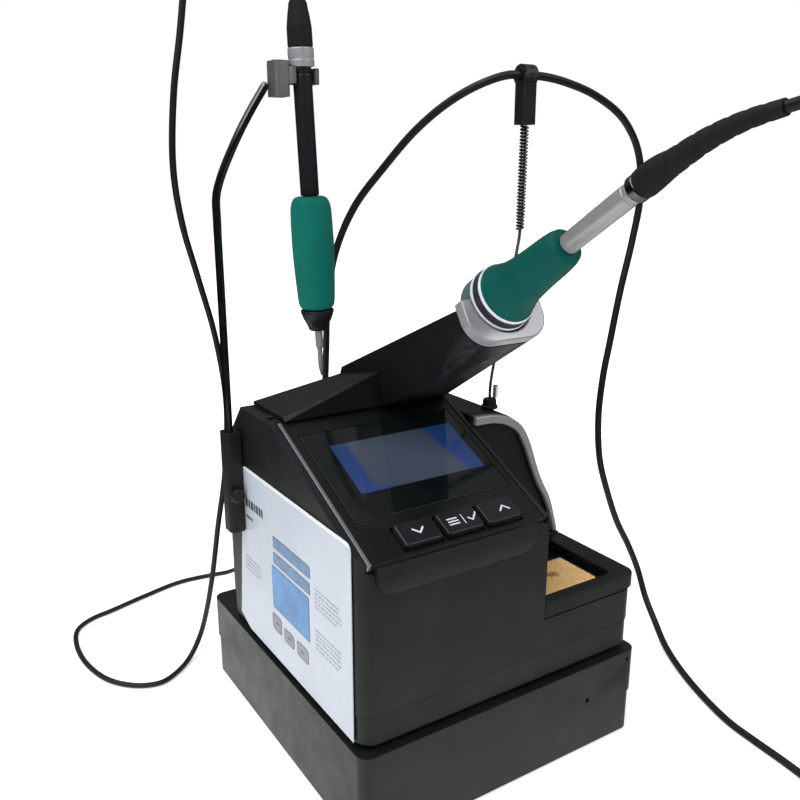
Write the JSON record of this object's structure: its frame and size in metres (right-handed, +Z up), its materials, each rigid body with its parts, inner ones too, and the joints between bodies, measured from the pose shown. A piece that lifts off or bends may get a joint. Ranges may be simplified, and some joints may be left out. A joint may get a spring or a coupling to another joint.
{
  "type": "soldering station",
  "caption": "Two-iron soldering station: control unit with slanted display panel and roof rest on a flat supply box, side hanger for the second iron, tip tray and cable arm.",
  "frame": {"origin": "under the middle of the station's box without its cables, in the plane of the rubber feet", "axes": "+Z up, the control panel faces -Y, +X to the right as seen from the front"},
  "size_m": [0.2972, 0.3903, 0.384],
  "materials": {
    "housing_black": "fine satin texture",
    "panel_black": "smooth",
    "dark_glass": "polished",
    "display_blue": "lit display",
    "key_plastic": "satin",
    "rubber_black": "matt",
    "silver_plastic": "satin silver",
    "rod_steel": "dark polished",
    "bright_steel": "polished",
    "teal_grip": "soft touch",
    "teal_grip_dark": "soft touch",
    "label_print": "printed film",
    "sponge_cell": "open cells",
    "circuit_green": "lacquered board",
    "iron_core": "lacquered laminations",
    "cable_black": "silicone"
  },
  "bodies": {
    "station": {"arm_clip": "housing_black", "arm_socket": "key_plastic", "arm_spring": "rod_steel", "cable_left_lower": "cable_black", "cable_right_inner": "cable_black", "control_board": "circuit_green", "display_glass": "dark_glass", "display_module": "display_blue", "hanger_bracket": "housing_black", "key_board": "circuit_green", "mains_inlet": "housing_black", "panel_bezel": "panel_black", "panel_trim_left": "silver_plastic", "panel_trim_right": "silver_plastic", "plug_left": "housing_black", "plug_right": "housing_black", "pod_band": "silver_plastic", "pod_housing": "housing_black", "power_switch_frame": "housing_black", "rest_cup": "bright_steel", "rest_fairing": "housing_black", "rest_liner": "silver_plastic", "rest_rim": "silver_plastic", "roof_lamp": "dark_glass", "side_label": "label_print", "socket_left": "bright_steel", "socket_right": "bright_steel", "supply_board": "circuit_green", "supply_bottom_shell": "housing_black", "supply_foot_1": "rubber_black", "supply_foot_2": "rubber_black", "supply_foot_3": "rubber_black", "supply_foot_4": "rubber_black", "supply_top_cover": "housing_black", "supply_transformer": "iron_core", "unit_bottom_shell": "housing_black", "unit_casing": "housing_black"},
    "rocker": {"power_rocker": "key_plastic"},
    "key_down_body": {"key_down": "key_plastic"},
    "key_menu_body": {"key_menu": "key_plastic"},
    "key_up_body": {"key_up": "key_plastic"},
    "hanger": {"hanger_rod": "rod_steel", "hanger_clip": "silver_plastic"},
    "hanging_iron": {"hanging_iron_nozzle": "housing_black", "hanging_iron_grip": "teal_grip", "hanging_iron_cartridge": "bright_steel", "hanging_iron_tube": "panel_black", "hanging_iron_ferrule": "silver_plastic", "hanging_iron_boot": "rubber_black", "cable_left_upper": "cable_black"},
    "resting_iron": {"resting_iron_nozzle": "housing_black", "resting_iron_grip": "teal_grip_dark", "resting_iron_tube": "rod_steel", "resting_iron_ferrule": "rod_steel", "resting_iron_boot": "rubber_black", "cable_right_outer": "cable_black"},
    "resting_cartridge": {"resting_iron_cartridge": "bright_steel"},
    "clamp_screw": {"hanger_knob": "key_plastic"},
    "tray": {"tip_tray": "housing_black"},
    "sponge_pad": {"sponge": "sponge_cell"}
  },
  "joints": [
    {"name": "power_rocker_tilt", "type": "hinge", "parent": "station", "child": "rocker", "pos_m": [-0.0053, 0.12326, 0.0232], "axis": [1, 0, 0], "range_deg": [0, 14]},
    {"name": "key_down_press", "type": "slide", "parent": "station", "child": "key_down_body", "axis": [0, 0.4226, -0.9063], "range_m": [0, 0.0008], "stiffness_N_per_m": 1500, "springref_m": -0.0003},
    {"name": "key_menu_press", "type": "slide", "parent": "station", "child": "key_menu_body", "axis": [0, 0.4226, -0.9063], "range_m": [0, 0.0008], "stiffness_N_per_m": 1500, "springref_m": -0.0003},
    {"name": "key_up_press", "type": "slide", "parent": "station", "child": "key_up_body", "axis": [0, 0.4226, -0.9063], "range_m": [0, 0.0008], "stiffness_N_per_m": 1500, "springref_m": -0.0003},
    {"name": "hanger_swivel", "type": "hinge", "parent": "station", "child": "hanger", "pos_m": [-0.0748, 0.08146, 0.1192], "axis": [0, 0, 1], "range_deg": [-40, 15]},
    {"name": "hanging_iron_lift", "type": "slide", "parent": "hanger", "child": "hanging_iron", "axis": [0, -0.9, 0.436], "range_m": [0, 0.045]},
    {"name": "resting_iron_draw", "type": "slide", "parent": "station", "child": "resting_iron", "axis": [0, -0.8347, 0.5508], "range_m": [0, 0.07]},
    {"name": "resting_cartridge_pull", "type": "slide", "parent": "resting_iron", "child": "resting_cartridge", "axis": [0, 0.8347, -0.5508], "range_m": [0, 0.024]},
    {"name": "clamp_screw_turn", "type": "hinge", "parent": "station", "child": "clamp_screw", "pos_m": [-0.0748, 0.07506, 0.1182], "axis": [0, 1, 0], "continuous": true},
    {"name": "tray_lift", "type": "slide", "parent": "station", "child": "tray", "axis": [0, 0, 1], "range_m": [0, 0.03]},
    {"name": "sponge_lift", "type": "slide", "parent": "tray", "child": "sponge_pad", "axis": [0, 0, 1], "range_m": [0, 0.02]}
  ]
}
